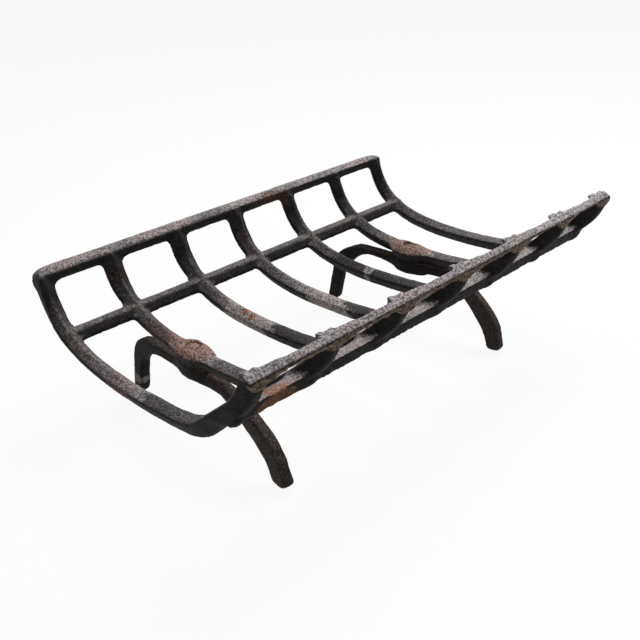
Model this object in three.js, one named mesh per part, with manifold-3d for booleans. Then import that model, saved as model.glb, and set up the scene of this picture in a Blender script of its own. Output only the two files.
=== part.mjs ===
// Cast iron log grate: a slatted basket on two arched legs.
//
// Millimetres, +Z up. The origin is on the floor, under the middle of the grate.
// +X runs along the rails, and -Y is the front, where the ribs turn up.
import * as THREE from 'three';
import Module from 'manifold-3d';
import { mergeVertices } from 'three/addons/utils/BufferGeometryUtils.js';

const wasm = await Module();
wasm.setup();

// ---- Driving dimensions ---------------------------------------------------------------

// The basket
const grateDepth = 368; // front rail's outer edge to back rail's outer edge
const frontHeight = 197; // floor to the top of the rib tips
const backHeight = 180; // floor to the top of the back rail
const floorHeight = 104; // floor to the top face of the ribs, where they lie lowest
const innerRibs = 5; // ribs between the two end ribs
const ribSpacing = 86; // between the centres of the inner ribs
const endSpacing = 81; // between an end rib and its neighbour

// The ribs have two inner faces that meet in a ridge like a roof, and sides that taper
// outwards. At each joint of their line: their width inside and outside, how deep they are
// from the line to the outer face, and how high the ridge is over the line.
const ribAt = [
  { width: 22.5, back: 10, depth: 15.7, ridge: 0.4 }, // at the tip
  { width: 22.5, back: 10, depth: 15.5, ridge: 0.4 }, // where the front leg straightens
  { width: 22, back: 9, depth: 18, ridge: 0.5 }, // at the front bend
  { width: 20, back: 8, depth: 14, ridge: 1.5 }, // at the lower run's front end
  { width: 19, back: 7, depth: 12.5, ridge: 4.5 }, // where the ribs start to rise
  { width: 20, back: 8, depth: 10, ridge: 8.5 }, // where they stand nearly upright
  { width: 20, back: 8, depth: 6, ridge: 8.5 }, // at the back rail
];
const ribEdge = 2; // bevelled long edges
const tipLean = 3; // how much lower the right-hand corner of a rib tip is
const tipSpread = 2; // how much a rib tip widens on each side

// The rib's line, seen from the end of the grate
const tipSetback = 13.5; // front rail's outer edge to the tip's inner edge
const tipFall = 8; // from the tip's inner edge down to the front rail's outer edge
const legTopSetback = 37; // front edge to where the tip's curve ends
const legTopDrop = 38; // from the tip down to where its curve ends
const bendSetback = 81; // front edge to the top of the front bend
const bendRise = 19; // from the rib's lowest face up to the top of the front bend
const runSetback = 112; // front edge to the front end of the lower run
const runRise = 4.5; // the lower run's front end, above its lowest face
const sweepSetback = 127; // back edge to where the ribs start to rise
const wallSetback = 26; // back edge to where the ribs stand nearly upright
const wallDrop = 24.5; // back rail's top down to that place
const ridgeSetback = 17.5; // back edge to the back rail's inner edge
const ridgeDrop = 3.3; // back rail's top down to its inner edge
const tipSlope = -76; // degrees: the line's slope at the tip, going back and down
const runSlope = -8; // degrees, at the lower run's front end
const riseSlope = 4; // degrees, at the lower run's back end

// The rails
const backRailFace = 11.5; // from the line's end down to the back rail's foot
const backRailRidge = 6; // from the line's end in to the back rail's ridge
const backRailRidgeDrop = 4; // from the line's end down to the back rail's ridge
const backRailDepth = 14; // from its foot to its outer face
const railEdge = 3; // rounded upper edges of the back rail
const middleRailShape = { width: 20, back: 8, depth: 10, ridge: 6.3 };
const middleRailPlace = 0.507; // along the rear sweep, from its foot to its top
const lowerRailTop = 150; // floor to the lower front rail's top face
const lowerRailHeight = 10.5;
const lowerRailLedge = 2; // its ridge, behind the ribs' outer faces
const lowerRailSunk = 0.2; // its lower front corner, behind the ribs' outer faces
const lowerRailEdge = 2; // its bevelled edges
const lowerRailDraft = 4; // of its hidden back corner
const topRailDepth = 10;
const topRailHeight = 15;
const topRailLip = 4; // height of its outer face
const topRailEdge = 1.5; // its bevelled edges
const cornerRound = 11; // of the rails' ends
const backCornerRound = 17; // at the outer corners of the back rail
const backRailCover = 4; // from the end of the back rail to the outside of its end rib
const railCover = 6; // the same for the middle rail and the lower front rail

// The bosses, where a leg is bolted under a rib
const bossSetback = 154; // back edge to the bolts
const bossInset = 2; // from the middle of a rib to its bolt, towards the grate's middle
const bossLength = 60;
const bossWidth = 36;
const bossRise = 4.5; // above the rib's top face
const bossDrop = 1.5; // below the rib's back face
const bossShoulder = 3; // its widest place, under the rib's line
const bossFlat = 0.62; // of its flat top and underside, as a share of its width

// The legs
const legThickness = 11.5;
const legTurn = 3; // degrees that each leg is turned on its bolt, with its heels in
const legTopGap = 2.2; // between a rib's back face and the bar of its leg
const legBarDepth = 12.5;
const legEdge = 1.5; // its bevelled edges
const legBossLength = 50;
const legBossWidth = 27;
const legBossHeight = 16.5;
const legBossEdge = 7; // height of its bevelled lower edge
const legBossShoulder = 5; // height of its bevelled upper edge
const backFootSetback = 14; // back edge to the back feet's heels
const backFootDepth = 17;
const backShoulder = 55; // from the heel to where the back leg has become the bar
const ankleHeight = 53;
const ankleLean = 12; // how far the back leg leans forward, up to its ankle
const frontFootSetback = 77; // front edge to the front feet's toes
const frontFootDepth = 17;
const frontShoulder = 88; // from the toe to where the front leg has become the bar
const kneeHeight = 41;
const kneeLean = 8; // how far the front leg leans back, up to its knee

// The bolts, washers and nuts
const boltRadius = 4;
const boltHeadRadius = 8;
const boltHeadHeight = 3.8;
const boltHeadSunk = 0.6; // its crown, below the boss's top face
const boltEnd = 1; // past the nut
const washerRadius = 8.5;
const washerThickness = 1.6;
const nutFlats = 13;
const nutHeight = 6.3;
const nutSunk = 1.2; // the bolt's end, above the underside of the leg's boss

// Clearances
const seatGap = 0.3; // between faces that touch on the real object
const holeClearance = 0.5; // round a bolt in a cast hole or a washer
const headClearance = 0.8; // round a bolt's head in its seat
const threadGap = 0.3; // between a bolt and its nut, which have no threads here
const recessClearance = 0.9; // round a washer in the leg's recess
const cutPast = 5; // how far a cut runs out past the faces that it opens

// ---- Places worked out from them ----------------------------------------------------------

const frontEdge = -grateDepth / 2;
const backEdge = grateDepth / 2;
const bossY = backEdge - bossSetback;

function ribCentres() {
  const centres = [];
  for (let i = 0; i < innerRibs; i += 1) {
    centres.push((i - (innerRibs - 1) / 2) * ribSpacing);
  }
  const end = centres[innerRibs - 1] + endSpacing;
  return [-end, ...centres, end];
}
const ribs = ribCentres();
const halfWidth = ribs[ribs.length - 1] + ribAt[0].width / 2;
const boltX = ribs[ribs.length - 2] - bossInset;

// ---- From geometry to solids and back -------------------------------------------------------

function solidOf(geometry) {
  const bare = geometry.clone();
  bare.deleteAttribute('normal');
  bare.deleteAttribute('uv');
  const merged = mergeVertices(bare, 1e-4);
  return new wasm.Manifold(new wasm.Mesh({
    numProp: 3,
    vertProperties: new Float32Array(merged.attributes.position.array),
    triVerts: new Uint32Array(merged.index.array),
  }));
}

function geometryOf(solid) {
  const mesh = solid.getMesh();
  const geometry = new THREE.BufferGeometry();
  geometry.setAttribute('position', new THREE.BufferAttribute(mesh.vertProperties, 3));
  geometry.setIndex(new THREE.BufferAttribute(mesh.triVerts, 1));
  geometry.computeVertexNormals();
  return geometry;
}

function joined(solids) {
  return solids.reduce((whole, solid) => whole.add(solid));
}

// ---- The rib's line ---------------------------------------------------------------------------

// All points of the line are (y, z) where the logs lie, from the front tip to the back
// rail's inner edge. A rib's two inner faces cross it between their ridge and their edges.
const tip = new THREE.Vector2(frontEdge + tipSetback, frontHeight);
const legTop = new THREE.Vector2(frontEdge + legTopSetback, frontHeight - legTopDrop);
const bendTop = new THREE.Vector2(frontEdge + bendSetback, floorHeight + bendRise);
const runFront = new THREE.Vector2(frontEdge + runSetback, floorHeight + runRise);
const runBack = new THREE.Vector2(backEdge - sweepSetback, floorHeight);
const wallTop = new THREE.Vector2(backEdge - wallSetback, backHeight - wallDrop);
const ridge = new THREE.Vector2(backEdge - ridgeSetback, backHeight - ridgeDrop);

// A curve between two points, with a handle of a given share of their distance at each end.
function sweep(from, to, fromSlope, toSlope, fromReach, toReach) {
  const span = from.distanceTo(to);
  const handle = (slope, reach) => new THREE.Vector2(Math.cos(slope), Math.sin(slope))
    .multiplyScalar(span * reach);
  return new THREE.CubicBezierCurve(
    from,
    from.clone().add(handle(fromSlope, fromReach)),
    to.clone().sub(handle(toSlope, toReach)),
    to,
  );
}

const degree = Math.PI / 180;
const legSlope = Math.atan2(bendTop.y - legTop.y, bendTop.x - legTop.x);
const wallSlope = Math.atan2(ridge.y - wallTop.y, ridge.x - wallTop.x);
const atTip = tipSlope * degree;
const atRun = runSlope * degree;
const atRise = riseSlope * degree;

const ribLine = [
  { curve: sweep(tip, legTop, atTip, legSlope, 0.38, 0.34), steps: 5 },
  { curve: new THREE.LineCurve(legTop, bendTop), steps: 2 },
  { curve: sweep(bendTop, runFront, legSlope, atRun, 0.42, 0.32), steps: 5 },
  { curve: sweep(runFront, runBack, atRun, atRise, 0.3, 0.3), steps: 5 },
  { curve: sweep(runBack, wallTop, atRise, wallSlope, 0.49, 0.29), steps: 8 },
  { curve: new THREE.LineCurve(wallTop, ridge), steps: 1 },
];
const [tipCurve, legLine, , , rearSweep] = ribLine;

// A place on the line, and the bar's shape there.
function stationOf(curve, t, shape) {
  const point = curve.getPoint(t);
  const tangent = curve.getTangent(t);
  const outward = new THREE.Vector2(tangent.y, -tangent.x);
  return { point, tangent, outward, shape };
}

function shapeBetween(from, to, share) {
  const at = (size) => THREE.MathUtils.lerp(from[size], to[size], share);
  return { width: at('width'), back: at('back'), depth: at('depth'), ridge: at('ridge') };
}

// The back rail's corners on its inner side. Its upper inner face slopes down to its ridge.
const upWall = new THREE.Vector2(Math.cos(wallSlope), Math.sin(wallSlope));
const outOfWall = new THREE.Vector2(upWall.y, -upWall.x);
const backRailTop = new THREE.Vector2(ridge.x + railEdge, backHeight);
const backRailCrest = ridge.clone()
  .addScaledVector(upWall, -backRailRidgeDrop)
  .addScaledVector(outOfWall, -backRailRidge);

// The tips are cut so that they slope down to the front rail's outer edge, and the other
// ends so that they lie along the back rail's upper inner face.
const tipCut = new THREE.Vector2(-tipSetback, -tipFall);
const backCut = backRailTop.clone().sub(backRailCrest);

function ribStations() {
  const stations = [];
  ribLine.forEach(({ curve, steps }, part) => {
    for (let i = part === 0 ? 0 : 1; i <= steps; i += 1) {
      const t = i / steps;
      stations.push(stationOf(curve, t, shapeBetween(ribAt[part], ribAt[part + 1], t)));
    }
  });
  stations[0].outward = tipCut.clone().normalize();
  stations[stations.length - 1].outward = backCut.clone().normalize();
  return stations;
}
const stations = ribStations();

// ---- Pieces of the basket -----------------------------------------------------------------------

// A bar's section: how far each corner lies from the bar's middle, and outwards from its line.
function barSection({ width, back, depth, ridge: height }) {
  const wide = width / 2;
  const narrow = back / 2;
  const bevel = -height * ribEdge / wide;
  return [
    [wide - ribEdge, bevel],
    [wide, ribEdge],
    [narrow, depth],
    [-narrow, depth],
    [-wide, ribEdge],
    [-wide + ribEdge, bevel],
    [0, -height],
  ];
}

// A closed skin over a row of rings that all have the same number of points.
function skin(rings) {
  const count = rings[0].length;
  const last = (rings.length - 1) * count;
  const index = [];
  for (let r = 0; r + 1 < rings.length; r += 1) {
    for (let i = 0; i < count; i += 1) {
      const a = r * count + i;
      const b = r * count + (i + 1) % count;
      index.push(a, b, b + count, a, b + count, a + count);
    }
  }
  for (let i = 1; i + 1 < count; i += 1) {
    index.push(0, i + 1, i);
    index.push(last, last + i, last + i + 1);
  }
  const geometry = new THREE.BufferGeometry();
  geometry.setAttribute('position', new THREE.Float32BufferAttribute(rings.flat(2), 3));
  geometry.setIndex(index);
  return geometry;
}

function rib(centre) {
  const rings = stations.map(({ point, outward, shape }) => barSection(shape).map(([x, d]) => [
    centre + x,
    point.x + outward.x * d,
    point.y + outward.y * d,
  ]));
  const tipWidth = ribAt[0].width;
  rings[0] = rings[0].map(([x, y, z]) => [
    centre + (x - centre) * (1 + 2 * tipSpread / tipWidth),
    y,
    z - tipLean * (0.5 + (x - centre) / tipWidth),
  ]);
  return solidOf(skin(rings));
}

// A rail along X, whose section is a list of (y, z). Its ends are rounded off.
function rail(section, reach) {
  const middle = section.reduce((sum, [y, z]) => [sum[0] + y, sum[1] + z], [0, 0])
    .map((sum) => sum / section.length);
  const endSize = 0.4; // of an end's face, as a share of the rail's section
  const turn = [0, 30, 60, 90].map((angle) => angle * degree);
  const ring = (x, scale) => section.map(([y, z]) => [
    x,
    middle[0] + (y - middle[0]) * scale,
    middle[1] + (z - middle[1]) * scale,
  ]);
  const end = reach - cornerRound;
  const shrink = (angle) => endSize + (1 - endSize) * Math.cos(angle);
  const rings = [
    ...turn.map((angle) => ring(-end - cornerRound * Math.sin(angle), shrink(angle))).reverse(),
    ...turn.map((angle) => ring(end + cornerRound * Math.sin(angle), shrink(angle))),
  ];
  return solidOf(skin(rings));
}

function backRail() {
  const foot = ridge.clone().addScaledVector(upWall, -backRailFace);
  const heel = foot.clone().addScaledVector(outOfWall, backRailDepth);
  return rail([
    [backRailCrest.x, backRailCrest.y],
    [foot.x, foot.y],
    [heel.x, heel.y],
    [backEdge, backHeight - 2 * railEdge],
    [backEdge - railEdge / 2, backHeight - railEdge / 2],
    [backEdge - railEdge, backHeight],
    [backRailTop.x, backRailTop.y],
  ], halfWidth - backRailCover);
}

function middleRail() {
  const { point, tangent, outward } = stationOf(rearSweep.curve, middleRailPlace);
  return rail(barSection(middleRailShape).map(([along, deep]) => [
    point.x - tangent.x * along + outward.x * deep,
    point.y - tangent.y * along + outward.y * deep,
  ]), halfWidth - railCover);
}

// Where the ribs' inner and outer faces lie at one height of the front.
function frontFaces(height) {
  const front = stations.slice(0, tipCurve.steps + legLine.steps + 1);
  const at = (offset) => {
    const line = front.map(({ point, outward, shape }) => (
      [point.x + outward.x * shape.depth * offset, point.y + outward.y * shape.depth * offset]
    ));
    const next = line.findIndex(([, z]) => z < height);
    const [y0, z0] = line[next - 1];
    const [y1, z1] = line[next];
    return y0 + (y1 - y0) * (z0 - height) / (z0 - z1);
  };
  return { inner: at(0), outer: at(1) };
}

function lowerRail() {
  const top = frontFaces(lowerRailTop);
  const low = lowerRailTop - lowerRailHeight;
  const bottom = frontFaces(low);
  return rail([
    [top.inner, lowerRailTop],
    [top.outer + lowerRailLedge, lowerRailTop],
    [top.outer + lowerRailLedge, lowerRailTop - lowerRailEdge],
    [bottom.outer + lowerRailSunk - lowerRailEdge, low + lowerRailEdge],
    [bottom.outer + lowerRailSunk, low],
    [bottom.inner - lowerRailDraft, low],
    [bottom.inner, low + lowerRailDraft],
  ], halfWidth - railCover);
}

function topRail() {
  const { point, tangent, outward, shape: { depth } } = stations[0];
  const corner = (down, deep) => [
    point.x + tangent.x * down + outward.x * deep,
    point.y + tangent.y * down + outward.y * deep,
  ];
  const inner = depth - topRailDepth;
  return rail([
    corner(topRailEdge, depth),
    corner(topRailLip, depth),
    corner(topRailHeight, inner + topRailEdge),
    corner(topRailHeight - topRailEdge, inner),
    corner(topRailEdge, inner),
    corner(0, inner + topRailEdge),
    corner(0, depth - topRailEdge),
  ], halfWidth);
}

// An oval pad whose sides slope in towards its top and bottom: a list of (radius share, z).
function oval(length, width, outline) {
  const points = outline.map(([share, z]) => new THREE.Vector2(share * width / 2, z));
  const geometry = new THREE.LatheGeometry(points, 24);
  geometry.rotateX(Math.PI / 2);
  geometry.scale(1, length / width, 1);
  return solidOf(geometry);
}

function drill(radius, from, to, sides = 20) {
  const geometry = new THREE.CylinderGeometry(radius, radius, to - from, sides);
  geometry.rotateX(Math.PI / 2);
  geometry.translate(0, 0, (from + to) / 2);
  return solidOf(geometry);
}

// The rib's faces at the bolt.
function heightOverBolt() {
  const next = stations.findIndex(({ point }) => point.x > bossY);
  const before = stations[next - 1].point;
  const after = stations[next].point;
  const share = (bossY - before.x) / (after.x - before.x);
  return THREE.MathUtils.lerp(before.y, after.y, share);
}
const ribTop = heightOverBolt();
const ribDepth = ribAt[4].depth;
const bossTop = ribTop + bossRise;
const bossBottom = ribTop - ribDepth - bossDrop;
const headSeat = bossTop - boltHeadSunk - boltHeadHeight - seatGap;

function ribBoss(centre) {
  const pad = oval(bossLength, bossWidth, [
    [0, bossBottom],
    [bossFlat, bossBottom],
    [1, ribTop - bossShoulder],
    [0.94, ribTop],
    [bossFlat, bossTop],
    [0, bossTop],
  ]);
  return pad.translate([centre, bossY, 0]);
}

function boltHole(centre) {
  const hole = drill(boltRadius + holeClearance, bossBottom - cutPast, bossTop + cutPast);
  const seat = drill(boltHeadRadius + headClearance, headSeat, bossTop + cutPast);
  return hole.add(seat).translate([centre, bossY, 0]);
}

// Rounds the two outer corners at the back rail, with flats that touch an arc.
function roundedAtBack(solid) {
  const up = new THREE.Vector3(0, upWall.x, upWall.y);
  const middleOfTop = new THREE.Vector3(0, (ridge.x + backEdge) / 2, backHeight);
  const centre = up.clone().multiplyScalar(middleOfTop.dot(up) - backCornerRound);
  centre.x = halfWidth - backCornerRound;
  return [30, 60].reduce((whole, angle) => {
    const out = up.clone().multiplyScalar(Math.sin(angle * degree));
    out.x = Math.cos(angle * degree);
    const reach = centre.dot(out) + backCornerRound;
    return whole
      .trimByPlane([-out.x, -out.y, -out.z], -reach)
      .trimByPlane([out.x, -out.y, -out.z], -reach);
  }, solid);
}

function basket() {
  const cast = joined([
    ...ribs.map(rib),
    backRail(),
    middleRail(),
    lowerRail(),
    topRail(),
    ribBoss(-boltX),
    ribBoss(boltX),
  ]);
  return roundedAtBack(cast).subtract(boltHole(-boltX)).subtract(boltHole(boltX));
}

// ---- The legs --------------------------------------------------------------------------------------

const legBossTop = bossBottom - seatGap;
const legBossBottom = legBossTop - legBossHeight;
const barTop = ribTop - ribDepth - legTopGap;
const barBottom = barTop - legBarDepth;

// The stack in the recess under a leg's boss, from its end upwards.
const boltFoot = legBossBottom + nutSunk;
const nutBottom = boltFoot + boltEnd;
const nutTop = nutBottom + nutHeight;
const washerBottom = nutTop + seatGap;
const washerTop = washerBottom + washerThickness;
const recessTop = washerTop + seatGap;

// The leg's outline, seen from the end of the grate, from the heel over the bar to the toe
// and back along the arch.
function legOutline() {
  const heel = backEdge - backFootSetback;
  const instep = heel - backFootDepth;
  const toe = frontEdge + frontFootSetback;
  const arch = toe + frontFootDepth;
  const backBar = heel - backShoulder;
  const frontBar = toe + frontShoulder;
  const knee = toe + kneeLean;
  const shape = new THREE.Shape();
  shape.moveTo(heel, 0);
  shape.lineTo(heel - ankleLean, ankleHeight);
  shape.bezierCurveTo(heel - 17, ankleHeight + 24, backBar + 24, barTop, backBar, barTop);
  shape.lineTo(frontBar, barTop);
  shape.bezierCurveTo(frontBar - 26, barTop - 2, knee + 12, kneeHeight + 24, knee, kneeHeight);
  shape.quadraticCurveTo(toe, kneeHeight - 16, toe, 0);
  shape.lineTo(arch, 0);
  const calf = arch + 13;
  const calfHeight = kneeHeight - 8;
  shape.quadraticCurveTo(arch + 4, calfHeight - 11, calf, calfHeight);
  shape.bezierCurveTo(calf + 15, calfHeight + 17, frontBar - 26, barBottom - 8, frontBar, barBottom);
  shape.lineTo(backBar - 25, barBottom);
  const shin = instep - 11;
  const shinHeight = ankleHeight - 11;
  shape.bezierCurveTo(backBar, barBottom, shin - 3, barBottom - 13, shin, shinHeight);
  shape.lineTo(instep, 0);
  shape.closePath();
  return shape;
}

// Turns an outline in (y, z) that was drawn out along Z into one drawn out along X.
function standUp(geometry, thickness) {
  const axes = new THREE.Matrix4().makeBasis(
    new THREE.Vector3(0, 1, 0),
    new THREE.Vector3(0, 0, 1),
    new THREE.Vector3(1, 0, 0),
  );
  geometry.applyMatrix4(axes);
  geometry.translate(-thickness / 2, 0, 0);
  return geometry;
}

function leg() {
  const bar = new THREE.ExtrudeGeometry(legOutline(), {
    depth: legThickness - 2 * legEdge,
    bevelEnabled: true,
    bevelThickness: legEdge,
    bevelSize: legEdge,
    bevelOffset: -legEdge,
    bevelSegments: 1,
    curveSegments: 8,
  });
  standUp(bar.translate(0, 0, legEdge), legThickness);
  const boss = oval(legBossLength, legBossWidth, [
    [0, legBossBottom],
    [0.8, legBossBottom],
    [1, legBossBottom + legBossEdge],
    [1, legBossTop - legBossShoulder],
    [0.7, legBossTop],
    [0, legBossTop],
  ]);
  const hole = drill(boltRadius + holeClearance, legBossBottom - cutPast, legBossTop + cutPast);
  const recess = drill(washerRadius + recessClearance, legBossBottom - cutPast, recessTop);
  return solidOf(bar).translate([0, -bossY, 0]).add(boss).subtract(hole).subtract(recess);
}

// ---- The fasteners ------------------------------------------------------------------------------------

function bolt() {
  const seat = headSeat + seatGap;
  const crown = seat + boltHeadHeight;
  const footEdge = 1;
  const outline = [
    [0, boltFoot],
    [boltRadius - footEdge, boltFoot],
    [boltRadius, boltFoot + footEdge],
    [boltRadius, seat],
    [boltHeadRadius, seat],
    [boltHeadRadius, seat + boltHeadHeight * 0.35],
    [boltHeadRadius * 0.8, seat + boltHeadHeight * 0.8],
    [boltHeadRadius * 0.4, crown],
    [0, crown],
  ].map(([r, z]) => new THREE.Vector2(r, z));
  const geometry = new THREE.LatheGeometry(outline, 20);
  geometry.rotateX(Math.PI / 2);
  return solidOf(geometry);
}

function washer() {
  const hole = drill(boltRadius + holeClearance, washerBottom - cutPast, washerTop + cutPast);
  return drill(washerRadius, washerBottom, washerTop).subtract(hole);
}

function nut() {
  const bore = drill(boltRadius + threadGap, nutBottom - cutPast, nutTop + cutPast);
  return drill(nutFlats / Math.sqrt(3), nutBottom, nutTop, 6).subtract(bore);
}

// ---- The grate ----------------------------------------------------------------------------------------

function castIron(color, roughness) {
  return new THREE.MeshStandardMaterial({ color, roughness, metalness: 0.6 });
}

function piece(name, solid, material) {
  const mesh = new THREE.Mesh(geometryOf(solid), material);
  mesh.name = name;
  return mesh;
}

const grate = new THREE.Group();
grate.add(piece('basket', basket(), castIron(0x55504f, 0.8)));
for (const [side, turn] of [['left', -1], ['right', 1]]) {
  const standing = new THREE.Group();
  standing.position.set(turn * boltX, bossY, 0);
  standing.rotation.z = turn * legTurn * degree;
  standing.add(piece(`${side}_leg`, leg(), castIron(0x4a4342, 0.85)));
  standing.add(piece(`${side}_bolt`, bolt(), castIron(0x7a4a34, 0.9)));
  standing.add(piece(`${side}_washer`, washer(), castIron(0x5e4238, 0.85)));
  standing.add(piece(`${side}_nut`, nut(), castIron(0x5e4238, 0.9)));
  grate.add(standing);
}

export default grate;
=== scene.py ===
# %% [markdown]
# # A cast iron log grate
# An old grate for an open fire. Seven flat bars are bent into a cradle and joined by rails along
# the back and the front, all cast in one, and the basket is bolted to two arched legs. The packed
# CAD model gives every size and place. Here each piece is made again with the rounded corners,
# the lumps and the rust of a casting that has stood in the ash for years.

# %% Load the frame
import math

import bmesh
import bpy
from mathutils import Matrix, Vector, geometry, noise


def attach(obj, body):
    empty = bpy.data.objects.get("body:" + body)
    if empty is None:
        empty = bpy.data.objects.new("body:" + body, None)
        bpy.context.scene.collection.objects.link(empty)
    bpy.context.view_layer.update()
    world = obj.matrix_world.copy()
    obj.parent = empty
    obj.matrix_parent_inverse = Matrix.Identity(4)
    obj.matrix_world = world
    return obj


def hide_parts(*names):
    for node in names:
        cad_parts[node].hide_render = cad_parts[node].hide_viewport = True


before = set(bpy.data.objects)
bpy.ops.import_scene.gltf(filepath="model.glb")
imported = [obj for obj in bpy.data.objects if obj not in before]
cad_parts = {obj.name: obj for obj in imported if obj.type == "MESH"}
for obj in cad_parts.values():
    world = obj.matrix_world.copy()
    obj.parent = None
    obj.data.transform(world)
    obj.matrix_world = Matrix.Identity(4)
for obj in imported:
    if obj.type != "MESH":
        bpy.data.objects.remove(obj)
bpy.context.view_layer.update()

# %% [markdown]
# ## The camera comes first
# The photograph was taken from the front left, a little above the grate. The camera stands where
# the object's own straight rails and equal ribs say that it stood, so each render can be laid
# over the photograph.

# %% Place the camera
mm = 0.001

camera = bpy.data.objects.new("camera", bpy.data.cameras.new("camera"))
camera.location = (-571.74 * mm, -594.95 * mm, 500.05 * mm)
camera.rotation_euler = [math.radians(angle) for angle in (62.9585, 3.1671, -44.4191)]
camera.data.lens = 46.118
camera.data.sensor_width = 36
camera.data.clip_start = 0.01
bpy.context.scene.collection.objects.link(camera)
bpy.context.scene.camera = camera
print("the camera is", round(camera.location.length, 3), "m from the grate's foot")

# %% [markdown]
# ## Formulas that write node trees
# Both the shapes and the finishes below are formulas. Wiring them by hand would take hundreds of
# Math nodes, so a small class stands for one number in a node tree: adding or multiplying two of
# them adds the node that does it. The trees that come out are ordinary ones, which can be opened
# and changed in the node editors.

# %% A number in a node tree
def plug(tree, value, socket):
    """Gives a node's input a field, which is linked, or a plain value."""
    if isinstance(value, Field):
        tree.links.new(value.socket, socket)
    else:
        socket.default_value = value


def work_out(tree, operation, *values):
    """Adds a Math node for these values, and returns its result."""
    node = tree.nodes.new("ShaderNodeMath")
    node.operation = operation
    for socket, value in zip(node.inputs, values):
        plug(tree, value, socket)
    return Field(tree, node.outputs[0])


class Field:
    """A number that a node tree works out at each place."""

    def __init__(self, tree, socket):
        self.tree = tree
        self.socket = socket

    def __add__(self, other):
        return work_out(self.tree, "ADD", self, other)

    def __sub__(self, other):
        return work_out(self.tree, "SUBTRACT", self, other)

    def __rsub__(self, other):
        return work_out(self.tree, "SUBTRACT", other, self)

    def __mul__(self, other):
        return work_out(self.tree, "MULTIPLY", self, other)

    def __truediv__(self, other):
        return work_out(self.tree, "DIVIDE", self, other)

    def __neg__(self):
        return self * -1

    def __abs__(self):
        return work_out(self.tree, "ABSOLUTE", self)

    def __pow__(self, power):
        return work_out(self.tree, "POWER", self, power)

    __radd__ = __add__
    __rmul__ = __mul__

    def rounded(self):
        return work_out(self.tree, "ROUND", self)

    def root(self):
        return work_out(self.tree, "SQRT", self)

    def between(self, low, high):
        return least(most(self, low), high)

    def ramp(self, start, end):
        """Goes smoothly from 0 at start to 1 at end, which may be the lower of the two."""
        node = self.tree.nodes.new("ShaderNodeMapRange")
        node.interpolation_type = "SMOOTHSTEP"
        plug(self.tree, self, node.inputs["Value"])
        rising = end > start
        node.inputs["From Min"].default_value = start if rising else end
        node.inputs["From Max"].default_value = end if rising else start
        node.inputs["To Min"].default_value = 0 if rising else 1
        node.inputs["To Max"].default_value = 1 if rising else 0
        return Field(self.tree, node.outputs["Result"])


# %% Joining and rounding
def least(a, b, blend=0):
    """The lesser of two fields. As distances, it joins two shapes, with a fillet for a blend."""
    if blend == 0:
        return work_out(a.tree, "MINIMUM", a, b)
    return work_out(a.tree, "SMOOTH_MIN", a, b, blend)


def most(a, b, blend=0):
    """The greater of two fields. As distances, it keeps what two shapes share, edges rounded."""
    if blend == 0:
        return work_out(a.tree, "MAXIMUM", a, b)
    return work_out(a.tree, "SMOOTH_MAX", a, b, blend)


def place(tree, x, y, z):
    """Three fields made into one place."""
    node = tree.nodes.new("ShaderNodeCombineXYZ")
    for socket, value in zip(node.inputs, (x, y, z)):
        plug(tree, value, socket)
    return Field(tree, node.outputs[0])


def axes(tree, where):
    """The x, y and z of a place."""
    node = tree.nodes.new("ShaderNodeSeparateXYZ")
    plug(tree, where, node.inputs[0])
    return [Field(tree, socket) for socket in node.outputs]


def cloud(tree, where, size, detail=2.0, roughness=0.5, seed=0.0):
    """A random field from about 0 to 1, whose lumps are about size metres across."""
    node = tree.nodes.new("ShaderNodeTexNoise")
    node.noise_dimensions = "4D"
    plug(tree, where, node.inputs["Vector"])
    plug(tree, seed, node.inputs["W"])
    node.inputs["Scale"].default_value = 1 / size
    node.inputs["Detail"].default_value = detail
    node.inputs["Roughness"].default_value = roughness
    return Field(tree, node.outputs[0])


# %% [markdown]
# ## The line of a rib
# All seven ribs follow one line, seen from the end of the grate: down from the tip, round the
# front bend, along the floor and up the back in a long sweep. The CAD source draws the same line
# from the same sizes. A curve object could hold it, but the basket below needs to know how far
# any place is from it, so it becomes the edge of a flat face.

# %% Draw the rib's line
def point(y, z):
    return Vector((y * mm, z * mm))


tip = point(-170.5, 197)
leg_top = point(-147, 159)
bend_top = point(-103, 123)
run_front = point(-72, 108.5)
run_back = point(57, 104)
wall_top = point(158, 155.5)
ridge = point(166.5, 176.7)


def heading(slope):
    return Vector((math.cos(slope), math.sin(slope)))


def slope_between(start, end):
    return math.atan2(end.y - start.y, end.x - start.x)


def sweep(start, end, start_slope, end_slope, start_reach, end_reach, steps=16):
    """Points on a curve that leaves and arrives at the given slopes."""
    span = (end - start).length
    leaving = start + heading(start_slope) * span * start_reach
    arriving = end - heading(end_slope) * span * end_reach
    return geometry.interpolate_bezier(start, leaving, arriving, end, steps + 1)


at_tip, at_run, at_rise = [math.radians(angle) for angle in (-76, -8, 4)]
leg_slope = slope_between(leg_top, bend_top)
wall_slope = slope_between(wall_top, ridge)
rib_parts = [
    sweep(tip, leg_top, at_tip, leg_slope, 0.38, 0.34),
    sweep(leg_top, bend_top, leg_slope, leg_slope, 0.33, 0.33),
    sweep(bend_top, run_front, leg_slope, at_run, 0.42, 0.32),
    sweep(run_front, run_back, at_run, at_rise, 0.3, 0.3),
    sweep(run_back, wall_top, at_rise, wall_slope, 0.49, 0.29),
    sweep(wall_top, ridge, wall_slope, wall_slope, 0.33, 0.33),
]
# The tip is cut off from the inner face to a point this far from it. The rib's thickness
# follows for both ends of each part.
tip_cut = point(-13.5, -8)
depths = [tip_cut.length, 15.5 * mm, 18 * mm, 14 * mm, 12.5 * mm, 10 * mm, 10 * mm]


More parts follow.
